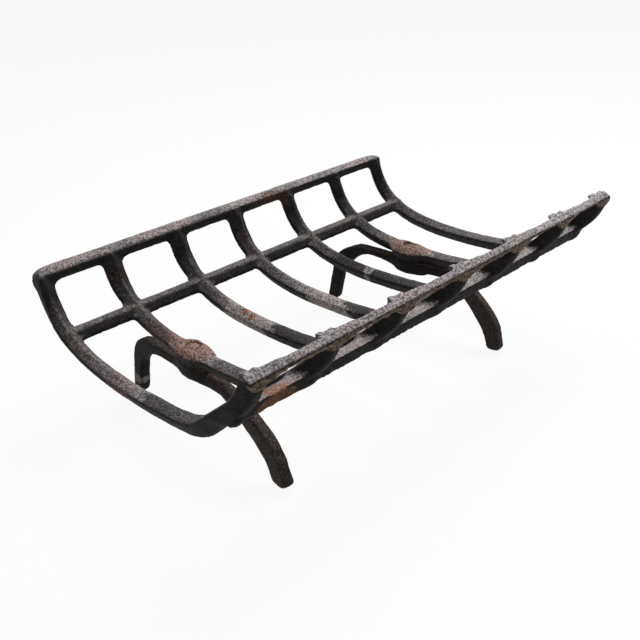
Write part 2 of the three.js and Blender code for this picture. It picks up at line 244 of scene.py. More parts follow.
def faces_of_rib():
    """The rib's inner face and its outer face, as two rows of points from tip to ridge."""
    inner, deep = [], []
    for part, points in enumerate(rib_parts):
        for step, here in enumerate(points):
            if part and not step:
                continue
            share = step / (len(points) - 1)
            inner.append(here)
            deep.append(depths[part] + (depths[part + 1] - depths[part]) * share)
    outer = []
    for i, here in enumerate(inner):
        along = (inner[min(i + 1, len(inner) - 1)] - inner[max(i - 1, 0)]).normalized()
        away = Vector((along.y, -along.x))
        outer.append(here + (tip_cut if i == 0 else away * deep[i]))
    return inner, outer


inner_face, outer_face = faces_of_rib()
length = sum((b - a).length for a, b in zip(inner_face, inner_face[1:]))
print("a rib's line is", round(length * 1000), "mm long, in", len(inner_face), "points")

# %% [markdown]
# ## Outlines that distances are measured from
# Two closed outlines hold the line: the room for the logs, which the ribs' inner faces bound, and
# the same room grown by the ribs' thickness. Iron can only be between them. Both are single flat
# faces in one mesh, told apart by a number on each face.

# %% Make the two outlines
def beyond(start, slope, distance):
    return start + heading(slope) * distance


def outline_mesh(name, outlines):
    """A mesh in the plane x = 0 with one flat face for each outline, numbered from 0."""
    corners, faces = [], []
    for line in outlines:
        faces.append(range(len(corners), len(corners) + len(line)))
        corners.extend((0, here.x, here.y) for here in line)
    mesh = bpy.data.meshes.new(name)
    mesh.from_pydata(corners, [], faces)
    number = mesh.attributes.new("outline", "INT", "FACE")
    number.data.foreach_set("value", range(len(outlines)))
    return mesh


carried_on = 80 * mm


def closed_above(line):
    """The line, carried on upwards at both ends."""
    front = beyond(line[0], at_tip, -carried_on)
    back = beyond(line[-1], wall_slope, carried_on)
    return [front, *line, back]


LOG_ROOM, LOG_ROOM_AND_RIBS = 0, 1
outlines = outline_mesh("grate_outlines", [closed_above(inner_face), closed_above(outer_face)])
print("outlines with", [len(face.vertices) for face in outlines.polygons], "corners")

# %% [markdown]
# ## A casting is poured, so its shape is a formula
# Sand moulds leave no sharp inside corners: where a rib meets a rail the iron flows into a fillet.
# Bevels on joined solids fail at such crossings, so the basket is made from distances. Each bar
# says how far any place is from its surface, the Smooth Minimum joins the bars with fillets, and
# Smooth Maximum rounds their edges. Volume Cube keeps the result on a grid and Volume to Mesh
# lays the skin on it.

# %% Helpers for distances
def start_tree(name, sizes):
    """A Geometry Nodes tree with named sizes as inputs, and its fields for those sizes."""
    tree = bpy.data.node_groups.new(name, "GeometryNodeTree")
    tree.interface.new_socket("Geometry", in_out="OUTPUT", socket_type="NodeSocketGeometry")
    tree.interface.new_socket("Geometry", in_out="INPUT", socket_type="NodeSocketGeometry")
    for label, value in sizes.items():
        entry = tree.interface.new_socket(label, in_out="INPUT", socket_type="NodeSocketFloat")
        entry.default_value = value
    entrance = tree.nodes.new("NodeGroupInput")
    fields = {label: Field(tree, entrance.outputs[label]) for label in sizes}
    return tree, Field(tree, entrance.outputs["Geometry"]), fields


def distance_to_outline(tree, outline_shapes, which, y, z):
    """How far a place is from a flat outline, seen along x: less than 0 inside it."""
    number = tree.nodes.new("GeometryNodeInputNamedAttribute")
    number.data_type = "INT"
    number.inputs["Name"].default_value = "outline"
    parts = []
    for element in ("FACES", "EDGES"):
        near = tree.nodes.new("GeometryNodeProximity")
        near.target_element = element
        plug(tree, outline_shapes, near.inputs[0])
        tree.links.new(number.outputs["Attribute"], near.inputs["Group ID"])
        plug(tree, place(tree, 0, y, z), near.inputs["Sample Position"])
        near.inputs["Sample Group ID"].default_value = which
        parts.append(Field(tree, near.outputs["Distance"]))
    # The first is 0 inside, and outside it is the same as the second.
    to_face, to_edge = parts
    return to_face * 2 - to_edge


def bar_section(y, z, corners, rounding, ragged=None):
    """The distance to a bar along x whose section has these corners, in order.

    ragged gives some sides, by number, a field that is added to their place.
    """
    middle = sum(corners, Vector((0, 0))) / len(corners)
    whole = None
    for i, corner in enumerate(corners):
        following = corners[(i + 1) % len(corners)]
        along = (following - corner).normalized()
        away = Vector((along.y, -along.x))
        if away.dot(corner - middle) < 0:
            away.negate()
        side = y * away.x + z * away.y - away.dot(corner)
        if ragged and i in ragged:
            side = side - ragged[i]
        whole = side if whole is None else most(whole, side, rounding)
    return whole


def plane(y, z, on, away):
    """The distance past a flat cut that faces away and goes through a point."""
    away = away.normalized()
    return y * away.x + z * away.y - away.dot(on)


# %% Helpers for the skin
threshold = 0.5
steepness = 200  # how much the density falls for each metre


def skin_of(tree, distance, low, high, voxel, ripple):
    """The surface where a distance is 0, roughened along its normals, with a material."""
    box = tree.nodes.new("GeometryNodeVolumeCube")
    plug(tree, threshold - distance * steepness, box.inputs["Density"])
    box.inputs["Background"].default_value = 0
    box.inputs["Min"].default_value = low
    box.inputs["Max"].default_value = high
    for axis, start, end in zip("XYZ", low, high):
        box.inputs["Resolution " + axis].default_value = round((end - start) / voxel) + 1
    skin = tree.nodes.new("GeometryNodeVolumeToMesh")
    skin.resolution_mode = "GRID"
    skin.inputs["Threshold"].default_value = threshold
    tree.links.new(box.outputs[0], skin.inputs["Volume"])
    normal = tree.nodes.new("GeometryNodeInputNormal")
    push = tree.nodes.new("ShaderNodeVectorMath")
    push.operation = "SCALE"
    tree.links.new(normal.outputs[0], push.inputs[0])
    plug(tree, ripple, push.inputs["Scale"])
    move = tree.nodes.new("GeometryNodeSetPosition")
    tree.links.new(skin.outputs[0], move.inputs["Geometry"])
    tree.links.new(push.outputs[0], move.inputs["Offset"])
    smooth = tree.nodes.new("GeometryNodeSetShadeSmooth")
    tree.links.new(move.outputs[0], smooth.inputs["Geometry"])
    return Field(tree, smooth.outputs[0])


def finish_tree(tree, shape, material):
    """Ends a tree: real geometry and a material."""
    real = tree.nodes.new("GeometryNodeRealizeInstances")
    plug(tree, shape, real.inputs[0])
    paint = tree.nodes.new("GeometryNodeSetMaterial")
    tree.links.new(real.outputs[0], paint.inputs["Geometry"])
    paint.inputs["Material"].default_value = material
    leaving = tree.nodes.new("NodeGroupOutput")
    tree.links.new(paint.outputs[0], leaving.inputs["Geometry"])


def grow(name, start_mesh, tree, sizes):
    """Runs a tree on a mesh with these sizes, and returns the result as a plain mesh object."""
    piece = bpy.data.objects.new(name, start_mesh)
    bpy.context.scene.collection.objects.link(piece)
    modifier = piece.modifiers.new("casting", "NODES")
    modifier.node_group = tree
    for entry in tree.interface.items_tree:
        if entry.in_out == "INPUT" and entry.name in sizes:
            modifier[entry.identifier] = sizes[entry.name]
    seen = piece.evaluated_get(bpy.context.evaluated_depsgraph_get())
    mesh = bpy.data.meshes.new_from_object(seen)
    mesh.name = name
    material = [entry for entry in mesh.materials if entry][0]
    mesh.materials.clear()
    mesh.materials.append(material)
    mesh.polygons.foreach_set("material_index", [0] * len(mesh.polygons))
    piece.modifiers.remove(modifier)
    piece.data = mesh
    triangles = sum(len(face.vertices) - 2 for face in mesh.polygons)
    print(name, "has", triangles, "triangles")
    return piece


# %% [markdown]
# ## Materials, named first
# The trees end in Set Material, so the materials have to exist before the shapes. Their nodes are
# filled in further down.

# %% Name the materials
basket_iron = bpy.data.materials.new("basket_iron")
leg_iron = bpy.data.materials.new("leg_iron")
rusted_bolt = bpy.data.materials.new("rusted_bolt")
rusted_nut = bpy.data.materials.new("rusted_nut")

# %% [markdown]
# ## The basket
# The basket is one casting. A rib is the space between the two outlines, cut to a width that
# narrows towards the outside so that the pattern could be drawn out of the sand. Folding x to the
# nearest rib makes one formula serve all seven.

# %% The basket's sizes
rib_pitch = 86 * mm
end_rib = 253 * mm
half_width = 264.25 * mm
boss_x, boss_y = 170 * mm, 30 * mm
rib_top_at_boss = 104.03 * mm
boss_top = rib_top_at_boss + 4.5 * mm
boss_bottom = rib_top_at_boss - 14 * mm
head_seat = boss_top - 4.7 * mm
bolt_hole = 4.5 * mm
back_height = 184 * mm
half_depth = 182.7 * mm
voxel = 1.95 * mm

basket_sizes = {
    "Rib pitch": rib_pitch,
    "Rib width": 22.5 * mm,
    "Rib back width": 10 * mm,
    "Ridge height": 8.3 * mm,
    "Back rail fillet": 9 * mm,
    "Middle rail fillet": 6 * mm,
    "Front rail fillet": 18 * mm,
    "Top rail fillet": 30 * mm,
    "Lump height": 0.9 * mm,
    "Pit depth": 0.5 * mm,
}
print("seven ribs,", round(rib_pitch / mm), "mm apart, and a grid of", round(voxel / mm, 2), "mm")


# %% One rib, repeated
def ribs(size, x, y, z, to_logs, to_outside):
    """The distance to the nearest rib and to its roof, and the place across and past its tip."""
    # Behind the front bend the ribs lie a millimetre aside, and the left end rib is worn.
    behind = y.ramp(-130 * mm, -50 * mm)
    worn = x.ramp(-130 * mm, -240 * mm) * behind * y.ramp(165 * mm, 90 * mm)
    settled = x.ramp(-170 * mm, -90 * mm) * 1.2 - 0.3 - worn
    x = x - settled * behind * mm
    number = (x / size["Rib pitch"]).rounded().between(-3, 3)
    middle = (number * size["Rib pitch"]).between(-end_rib, end_rib)
    across = x - middle

    # The sides draw in from the logs' side, where they are wide, to the outside.
    wide = size["Rib width"] / 2 - behind * (1.5 * mm) - worn * (1 * mm)
    wide = wide + y.ramp(132 * mm, 156 * mm) * x.ramp(120 * mm, 60 * mm) * (2 * mm)
    narrow = size["Rib back width"] / 2 - behind * (1.2 * mm)
    shoulder = 2 * mm
    share = ((to_logs - shoulder) / (to_logs - to_outside - shoulder)).between(0, 1.1)
    above = plane(y, z, tip, Vector((-8, 13.5)))
    spread = above.ramp(-9 * mm, 0) * across.ramp(6 * mm, -6 * mm) * (3 * mm)
    spread = spread * (x.ramp(-20 * mm, 60 * mm) + x.ramp(100 * mm, 180 * mm) * 1.5 + 1)
    sides = (abs(across) - wide + share * (wide - narrow) - spread) * 0.88

    # The roof rises towards the back, and it is twisted near the tip, which is cut at a slant.
    near_tip = above.ramp(-24 * mm, 0)
    height = size["Ridge height"] * y.ramp(-130 * mm, 165 * mm) + 0.4 * mm
    twist = near_tip * across.ramp(-12 * mm, 14 * mm) * (4 * mm)
    roof = (height * (abs(across) / wide - 1) - to_logs + twist) * (1 - y.ramp(0, 165 * mm) * 0.2)
    whole = most(sides, roof, 3 * mm)
    whole = most(whole, to_outside, 4 * mm)
    lean = across.ramp(-14 * mm, 14 * mm) * (5 * mm)
    whole = most(whole, above + lean, 3 * mm)

    # At the back the ribs end under the sloping top of the back rail.
    under_rail = plane(y, z, back_crest, Vector((-4.8, 10.1))) - most(60 * mm - y, 0) * 2
    return most(whole, under_rail + 1 * mm, 3 * mm), roof, across, above


# %% The rails
def corner_of(start, along, away):
    """Turns sizes along and away from a line at one of its points into a point."""
    def corner(forward, deep):
        return start + along * forward * mm + away * deep * mm
    return corner


up_wall = heading(wall_slope)
out_of_wall = Vector((up_wall.y, -up_wall.x))
at_wall = corner_of(ridge, up_wall, out_of_wall)
back_crest, back_top = at_wall(-4, -6), point(169.5, 180)
along_back_sweep = 0.507  # how far up the back sweep the middle rail lies


def back_rail(x, y, z, rough):
    """The distance to the back rail, which rises to the right, and to its two inner faces."""
    z = z - x.ramp(-200 * mm, 250 * mm) * (2.6 * mm) - 0.5 * mm
    foot = at_wall(-11.5, 0)
    outside = [at_wall(-11.5, 14), point(184, 173), point(183, 180)]
    section = bar_section(y, z, [back_crest, foot, *outside, back_top], 2.5 * mm, {1: rough})
    upper = plane(y, z, back_crest, Vector((back_crest.y - back_top.y, back_top.x - back_crest.x)))
    lower = plane(y, z, back_crest, Vector((foot.y - back_crest.y, back_crest.x - foot.x)))
    return most(section, abs(x) - (half_width - 3 * mm), 8 * mm), most(upper, lower, 2 * mm)


def middle_rail(x, y, z, rough):
    """The distance to the middle rail, and to its two inner faces alone."""
    line = rib_parts[4]
    share = along_back_sweep * (len(line) - 1)
    spot = int(share)
    along = (line[spot + 1] - line[spot]).normalized()
    start = line[spot].lerp(line[spot + 1], share - spot)
    away = Vector((along.y, -along.x))
    corner = corner_of(start, along, away)
    crest = corner(0, -6.3)
    corners = [crest, corner(-10, 1), corner(-4, 10), corner(4, 10), corner(12, 1)]
    section = bar_section(y, z, corners, 2 * mm, {1: rough * 0.8})
    upper = plane(y, z, crest, along * 7.3 - away * 10)
    lower = plane(y, z, crest, -along * 7.3 - away * 10)
    return most(section, abs(x) - (half_width - 6 * mm)), most(upper, lower, 2 * mm)


def lower_rail(x, y, z, rough):
    """The distance to the lower front rail, whose top slopes inwards, and more on the left."""
    corners = [point(-138, 149.5), point(-156, 151), point(-152, 136.5), point(-131, 137)]
    section = bar_section(y, z, corners, 2 * mm, {2: rough})
    fall = x.ramp(60 * mm, 0) * 0.27 + 0.08
    section = most(section, z - 151 * mm + (y + 156 * mm) * fall)
    return most(section, abs(x) - (half_width - 6 * mm))


def top_rail(x, y, z, rough):
    """The distance to the top rail, which rises to the right and hangs lower there as well."""
    z = z - x.ramp(40 * mm, 160 * mm) * (2.6 * mm)
    corner = corner_of(tip, heading(at_tip), tip_cut.normalized())
    corners = [corner(0, 5.7), corner(0, 15.6), corner(3, 15.6), corner(15, 6.5), corner(14, 5.7)]
    section = bar_section(y, z, corners, 1.5 * mm, {2: rough})
    lowest = 9.5 * mm + x.ramp(-10 * mm, 40 * mm) * (6 * mm) + rough
    section = most(section, plane(y, z, tip, heading(at_tip)) - lowest, 1.5 * mm)
    return most(section, abs(x + 1.5 * mm) - (half_width - 1.5 * mm), 5 * mm)


# %% The bosses under the bolts
def boss(x, y, z, lumps):
    """A lumpy oval pad near each bolt, and its bolt hole with the seat of the bolt's head."""
    # Both pads lie a little to the left of their bolts, and the right one is higher.
    right = x.ramp(-1 * mm, 1 * mm)
    aside = abs(x) - boss_x
    ahead = y - boss_y
    off_centre = x - right * (boss_x * 2) + boss_x + 1.5 * mm
    oval = ((off_centre / (16.5 * mm)) ** 2 + (ahead / (30 * mm)) ** 2).root()
    widest = rib_top_at_boss - 2 * mm
    side = (oval - 1) * (17 * mm) + most(z - widest, 0) * 0.9 + most(widest - z, 0) * 0.45
    higher = right * (2 * mm)
    pad = most(side - lumps, z - boss_top - higher - lumps * 0.8, 5 * mm)
    pad = most(pad, boss_bottom - z, 3 * mm)
    radius = (aside ** 2 + ahead ** 2).root()
    hole = least(radius - bolt_hole, most(radius - 8.6 * mm, head_seat - z))
    return pad, hole


# %% [markdown]
# The parts are joined in the order in which they lie on each other. A fillet also swells flat
# faces that lie level with each other, so after the front rails are in, the front is cut back to
# the ribs' outer faces, and at the end everything is cut back to the room for the logs.

# %% Build the basket's tree
def basket_tree():
    """The tree that casts the basket: the distance to its parts together, and then its skin."""
    tree, shapes, size = start_tree("cast_basket", basket_sizes)
    here = Field(tree, tree.nodes.new("GeometryNodeInputPosition").outputs[0])
    x, y, z = axes(tree, here)
    to_logs = distance_to_outline(tree, shapes, LOG_ROOM, y, z)
    to_outside = distance_to_outline(tree, shapes, LOG_ROOM_AND_RIBS, y, z)
    rough = (cloud(tree, here, 6 * mm, 3, 0.7, 3.0) - 0.5) * (4 * mm)

    middle_bar, bar_roof = middle_rail(x, y, z, rough)
    back_bar, back_roof = back_rail(x, y, z, rough)
    whole, rib_roof, across, above = ribs(size, x, y, z, to_logs, to_outside)

    # The front. The lower rail's fillets are larger on the left of each rib, and the top
    # rail's on the right.
    right = across.ramp(-6 * mm, 6 * mm)
    front_fillet = size["Front rail fillet"] * (1 - right * 0.75)
    whole = least(whole, lower_rail(x, y, z, rough * 0.5), front_fillet)
    rail_front = plane(y, z, point(-155, 147), Vector((-1, 0.1)))
    whole = most(whole, least(to_outside, rail_front))
    top_fillet = size["Top rail fillet"] * (right * above.ramp(-11 * mm, -3 * mm) * 0.9 + 0.1)
    whole = least(whole, top_rail(x, y, z, rough), top_fillet)
    whole = most(whole, most(to_outside - 5 * mm, above))

    # The back, and then the room for the logs.
    whole = least(whole, middle_bar, size["Middle rail fillet"])
    worn_corner = right * x.ramp(-30 * mm, -110 * mm) * 0.8 + 1
    whole = least(whole, back_bar, size["Back rail fillet"] * worn_corner)
    whole = most(whole, least(least(rib_roof, bar_roof, 2 * mm), back_roof, 4 * mm))

    # The ends and the outermost faces; the back rail's left end is shorter.
    left_back = x.ramp(0, -1 * mm) * y.ramp(110 * mm, 165 * mm)
    past_side = abs(x) - half_width + left_back * (5.5 * mm)
    whole = most(whole, most(past_side, plane(y, z, point(176, 180), up_wall), 30 * mm))
    whole = most(whole, z - back_height - most(-y, 0))
    whole = most(whole, abs(y) - half_depth)

    # The bosses come last, as they stand up into the room for the logs.
    lumps = (cloud(tree, here, 14 * mm, 2, 0.6, 5.0) - 0.5) * (6 * mm)
    pad, hole = boss(x, y, z, lumps)
    whole = least(whole, pad, 6 * mm)
    whole = most(whole, -hole, 1 * mm)

    lump = (cloud(tree, here, 34 * mm, 1, 0.5, 1.0) - 0.5) * size["Lump height"] * 1.2
    dent = (cloud(tree, here, 11 * mm, 2, 0.6, 2.0) - 0.5) * size["Lump height"]
    pit = (cloud(tree, here, 4.5 * mm, 2, 0.7, 4.0) - 0.5) * size["Pit depth"]
    low = (-0.2682, -0.1862, 0.084)
    high = (0.2682, 0.1862, 0.199)
    skin = skin_of(tree, whole, low, high, voxel, lump + dent + pit)
    finish_tree(tree, skin, basket_iron)
    return tree


basket = grow("basket_casting", outlines, basket_tree(), basket_sizes)
for axis, values in zip("xyz", zip(*(vertex.co for vertex in basket.data.vertices))):
    print("basket reaches from", axis, round(min(values), 4), "to", round(max(values), 4))

# %% [markdown]
# ## The legs
# Each leg is a casting of its own, a flat arch with a boss that is bolted up against the boss of
# the second rib. It is made like the basket: a flat outline in the plane of the arch, given a
# thickness and rounded edges, with the boss joined on by a fillet. The photograph's two legs
# differ by a few millimetres, so the sizes that tell them apart are inputs of the tree.

# %% The leg's heights
bar_top = rib_top_at_boss - 14.7 * mm
bar_bottom = bar_top - 12.5 * mm
leg_boss_top = boss_bottom - 0.3 * mm
leg_boss_bottom = leg_boss_top - 16.5 * mm
recess_top = leg_boss_bottom + 10.7 * mm
print("the leg's bar is", round((bar_top - bar_bottom) / mm, 1), "mm deep,",
      round(bar_bottom / mm, 1), "mm above the floor")

# %% Draw the leg's outline
def curve(*points):
    """Points on a curve through its first and last point, with two handles between them."""
    return geometry.interpolate_bezier(*[point(y, z) for y, z in points], 13)


def leg_line():
    top, under = bar_top / mm, bar_bottom / mm
    return [
        point(170, 0),
        *curve((158, 53), (153, 77), (139, top), (115, top)),
        *curve((-19, top), (-45, top - 2), (-87, 65), (-99, 41)),
        *curve((-104, 33), (-107, 20), (-107, 9), (-107, 0)),
        point(-90, 0),
        *curve((-89, 6), (-88, 14), (-83, 27), (-77, 33)),
        *curve((-77, 33), (-62, 50), (-45, under - 8), (-19, under)),
        *curve((90, under), (115, under), (139, under - 13), (142, 42)),
        point(153, 0),
    ]


leg_outline = outline_mesh("leg_outline", [[here - Vector((boss_y, 0)) for here in leg_line()]])
print("the leg's outline has", len(leg_outline.vertices), "corners")

# %% Build the leg's tree
leg_sizes = {
    "Thickness": 11.5 * mm,
    "Edge rounding": 5 * mm,
    "Boss fillet": 9 * mm,
    "Turn": math.radians(3),
    "Bar drop": 0.0,
    "Back drop": 0.0,
    "Back rise": 0.0,
    "Boss back": 0.0,
    "Toe": 0.0,
    "Toe in": 0.0,
    "Side": 1.0,
    "Seed": 0.0,
}


def leg_tree():
    """The tree that casts a leg at x = 0, and stands it under its boss with a slight turn."""
    tree, shapes, size = start_tree("cast_leg", leg_sizes)
    here = Field(tree, tree.nodes.new("GeometryNodeInputPosition").outputs[0])
    x, y, z = axes(tree, here)
    x = x + size["Side"] * size["Toe in"] * y.ramp(-80 * mm, -122 * mm)
    drop = size["Bar drop"] + size["Back drop"] * y.ramp(60 * mm, 100 * mm)
    drop = drop - size["Back rise"] * y.ramp(15 * mm, 55 * mm) * y.ramp(105 * mm, 75 * mm)
    drop = drop * z.ramp(10 * mm, 60 * mm)
    toe = size["Toe"] * y.ramp(-118 * mm, -130 * mm) * z.ramp(24 * mm, 2 * mm)
    arch = distance_to_outline(tree, shapes, 0, y + toe, z + drop)
    whole = most(arch, abs(x) - size["Thickness"] / 2, size["Edge rounding"])
    whole = most(whole, -z, 10 * mm)
    whole = most(whole, (-y - z * 1.3 - 132 * mm) * 0.61, 4 * mm)
    lumps = (cloud(tree, here, 13 * mm, 2, 0.6, size["Seed"]) - 0.5) * (4 * mm)
    oval = ((x / (13.5 * mm)) ** 2 + ((y - size["Boss back"]) / (24 * mm)) ** 2).root()
    side = (oval - 1) * (12.5 * mm) - lumps
    pad = most(side, z - leg_boss_top, 4 * mm)
    pad = most(pad, leg_boss_bottom - z, 6 * mm)
    whole = least(whole, pad, size["Boss fillet"])
    whole = most(whole, z - leg_boss_top)
    radius = (x ** 2 + y ** 2).root()
    hole = least(radius - bolt_hole, most(radius - 9.4 * mm, z - recess_top))
    whole = most(whole, -hole, 1 * mm)

    lump = (cloud(tree, here, 30 * mm, 1, 0.5, size["Seed"] + 7) - 0.5) * (1.4 * mm)
    dent = (cloud(tree, here, 10 * mm, 2, 0.6, size["Seed"] + 8) - 0.5) * (0.9 * mm)
    pit = (cloud(tree, here, 4.5 * mm, 2, 0.7, size["Seed"] + 9) - 0.5) * (0.5 * mm)
    off_floor = z.ramp(0, 6 * mm)
    low = (-0.018, -0.141, -0.004)
    high = (0.018, 0.145, 0.094)
    skin = skin_of(tree, whole, low, high, leg_voxel, (lump + dent + pit) * off_floor)
    stand = tree.nodes.new("GeometryNodeTransform")
    plug(tree, skin, stand.inputs["Geometry"])
    plug(tree, place(tree, size["Side"] * boss_x, boss_y, 0), stand.inputs["Translation"])
    turned = place(tree, 0, 0, size["Side"] * size["Turn"])
    plug(tree, turned, stand.inputs["Rotation"])
    finish_tree(tree, Field(tree, stand.outputs[0]), leg_iron)
    return tree


# %% [markdown]
# Both legs come out of the same tree. Each has its own seed for the lumps, and sizes that were
# read off the photograph.

# %% Cast both legs
leg_voxel = 1.5 * mm
leg_casting = leg_tree()
left_sizes = {
    "Side": -1.0, "Turn": math.radians(3), "Seed": 20.0, "Thickness": 13 * mm,
    "Bar drop": 5.5 * mm, "Back drop": 1.5 * mm, "Boss back": 3 * mm,
    "Toe": 7 * mm, "Toe in": 1.5 * mm,
}
right_sizes = {
    "Side": 1.0, "Turn": math.radians(4.3), "Seed": 40.0, "Thickness": 12.5 * mm,
    "Back rise": 4.5 * mm, "Back drop": 4.5 * mm, "Boss back": -3 * mm,
    "Toe": 2 * mm, "Toe in": 5 * mm,
}
left_leg = grow("left_leg_casting", leg_outline, leg_casting, left_sizes)
right_leg = grow("right_leg_casting", leg_outline, leg_casting, right_sizes)


# %% [markdown]
# ## Bolts, washers and nuts
# They are turned parts, so each is a profile spun round the bolt's axis, with a little noise on
# every point for the scale that rust leaves. The nut's outer profile is a rounded hexagon.

# %% Spin a profile
points_round = 48
coarse, fine = 350, 900  # lumps of rust for each metre
blunt_corner, flat_reach = 1.09, 0.9428  # the radius of a nut's worn corners and of its flats


def turned_piece(name, side, profile, material, flats=0, wear=0.25 * mm, seed=0.0):
    """A closed ring or disc spun from (radius, z) points; flats makes its outside a polygon."""
    corners, faces = [], []
    centre = Vector((side * boss_x, boss_y, 0))
    for radius, height in profile:
        for step in range(points_round):
            angle = 2 * math.pi * step / points_round
            reach = radius
            if flats and radius > 5 * mm:
                turn = (angle + math.pi / flats) % (2 * math.pi / flats) - math.pi / flats
                reach = min(radius * blunt_corner, radius * flat_reach / math.cos(turn))
            here = Vector((math.cos(angle) * reach, math.sin(angle) * reach, height))
            rust = noise.noise(here * coarse + Vector((seed, seed, 0)))
            rust += noise.noise(here * fine + Vector((0, seed, seed))) * 0.5
            push = Vector((here.x, here.y, 0)).normalized() if radius else Vector((0, 0, 1))
            corners.append(centre + here + (push * 0.5 + Vector((0, 0, 0.5))) * rust * wear)
    rows = len(profile)
    ring = profile[0] != profile[-1] and profile[0][0] > 0
    for row in range(rows if ring else rows - 1):
        for step in range(points_round):
            after = (step + 1) % points_round
            low, high = row * points_round, (row + 1) % rows * points_round
            faces.append((low + step, low + after, high + after, high + step))
    mesh = bpy.data.meshes.new("rusted_" + name)
    mesh.from_pydata(corners, [], faces)
    piece = bpy.data.objects.new("rusted_" + name, mesh)
    bpy.context.scene.collection.objects.link(piece)
    tidy_skin(mesh)
    mesh.materials.append(material)
    print(name, "has", len(mesh.polygons), "faces")
    return piece


def tidy_skin(mesh):
    """Merges the points that a pole shares and turns all faces outwards."""
    shape = bmesh.new()
    shape.from_mesh(mesh)
    bmesh.ops.remove_doubles(shape, verts=shape.verts, dist=1e-6)
    bmesh.ops.recalc_face_normals(shape, faces=shape.faces)
    for face in shape.faces:
        face.smooth = True
    shape.to_mesh(mesh)
    shape.free()


# %% Make the fasteners
bolt_foot = leg_boss_bottom + 1.2 * mm
nut_bottom = bolt_foot + 1 * mm
nut_top = nut_bottom + 6.3 * mm
washer_bottom = nut_top + 0.3 * mm
washer_top = washer_bottom + 1.6 * mm
seat = head_seat + 0.3 * mm
crown = seat + 3.8 * mm


def filled(profile, longest=0.8 * mm):
    """The same profile with points added, so that no step is longer than this."""
    points = [profile[0]]
    for start, end in zip(profile, profile[1:]):
        pieces = max(1, round(math.dist(start, end) / longest))
        points += [
            tuple(a + (b - a) * i / pieces for a, b in zip(start, end))
            for i in range(1, pieces + 1)
        ]
    return points


bolt_profile = filled([
    (0, bolt_foot), (3 * mm, bolt_foot), (4 * mm, bolt_foot + 1 * mm), (4 * mm, seat),
    (7.6 * mm, seat), (8 * mm, seat + 0.4 * mm), (7.9 * mm, seat + 1.5 * mm),
    (6.4 * mm, seat + 3 * mm), (3.2 * mm, crown - 0.1 * mm), (0, crown),
])
washer_profile = filled([
    (4.5 * mm, washer_bottom), (8.4 * mm, washer_bottom), (8.4 * mm, washer_top),
    (4.5 * mm, washer_top), (4.5 * mm, washer_bottom + 0.1 * mm),
])
nut_profile = filled([
    (4.3 * mm, nut_bottom), (6.3 * mm, nut_bottom), (6.9 * mm, nut_bottom + 0.7 * mm),
    (6.9 * mm, nut_top - 0.7 * mm), (6.3 * mm, nut_top), (4.3 * mm, nut_top),
    (4.3 * mm, nut_bottom + 0.1 * mm),
])
kinds = {
    "bolt": (bolt_profile, rusted_bolt, {}),
    "washer": (washer_profile, rusted_nut, {"wear": 0.15 * mm}),
    "nut": (nut_profile, rusted_nut, {"flats": 6}),
}
fasteners = {}
for side, word in ((-1, "left"), (1, "right")):
    for kind, (profile, material, options) in kinds.items():
        node = word + "_" + kind
        fasteners[node] = turned_piece(node, side, profile, material, seed=5.0 + side, **options)


# %% [markdown]
# ## The finish of the castings
# Cast iron that has been in the fire is nearly black with a brown tint. Pale ash lies on every
# face that looks up, and the same pale layer paints the light that falls on those faces. Rust
# comes through in patches, and the whole skin is speckled because the sand left it grainy.
# Painting this by hand would tie it to one mesh, so each layer is a formula of the place on the
# object and of which way the surface faces.

# %% Helpers for the finishes
def start_material(material):
    """An empty material's tree, the place on the object and the way the surface faces."""
    material.use_nodes = True
    tree = material.node_tree
    tree.nodes.clear()
    spot = tree.nodes.new("ShaderNodeTexCoord")
    facing = tree.nodes.new("ShaderNodeNewGeometry")
    normal = axes(tree, Field(tree, facing.outputs["Normal"]))
    return tree, Field(tree, spot.outputs["Object"]), normal


def mixed(tree, share, first, second):
    """One colour turned into another by a share from 0 to 1."""
    node = tree.nodes.new("ShaderNodeMix")
    node.data_type = "RGBA"
    plug(tree, share, node.inputs[0])
    for socket, value in ((node.inputs[6], first), (node.inputs[7], second)):
        plug(tree, value if isinstance(value, Field) else (*value, 1), socket)
    return Field(tree, node.outputs[2])


def shine(tree, colour, roughness, height, depth):
    """Ends a material: a matt surface of this colour, with bumps of this depth."""
    shader = tree.nodes.new("ShaderNodeBsdfPrincipled")
    plug(tree, colour, shader.inputs["Base Color"])
    plug(tree, roughness, shader.inputs["Roughness"])
    shader.inputs["Metallic"].default_value = 0
    shader.inputs["Specular IOR Level"].default_value = 0.1
    bump = tree.nodes.new("ShaderNodeBump")
    bump.inputs["Distance"].default_value = depth
    bump.inputs["Strength"].default_value = 1
    plug(tree, height, bump.inputs["Height"])
    tree.links.new(bump.outputs[0], shader.inputs["Normal"])
    leaving = tree.nodes.new("ShaderNodeOutputMaterial")
    tree.links.new(shader.outputs[0], leaving.inputs["Surface"])


# %% Cast iron
pore_black, salt_white = (0.004, 0.004, 0.004), (0.62, 0.58, 0.57)


def oval_place(where, centre, reach, ragged):
    """1 in an oval place on the object and 0 outside it, with a ragged edge; sizes in mm."""
    parts = [
        ((axis - middle * mm) / (radius * mm)) ** 2
        for axis, middle, radius in zip(where, centre, reach)
    ]
    return ((parts[0] + parts[1] + parts[2]).root() + ragged).ramp(1.12, 0.88)


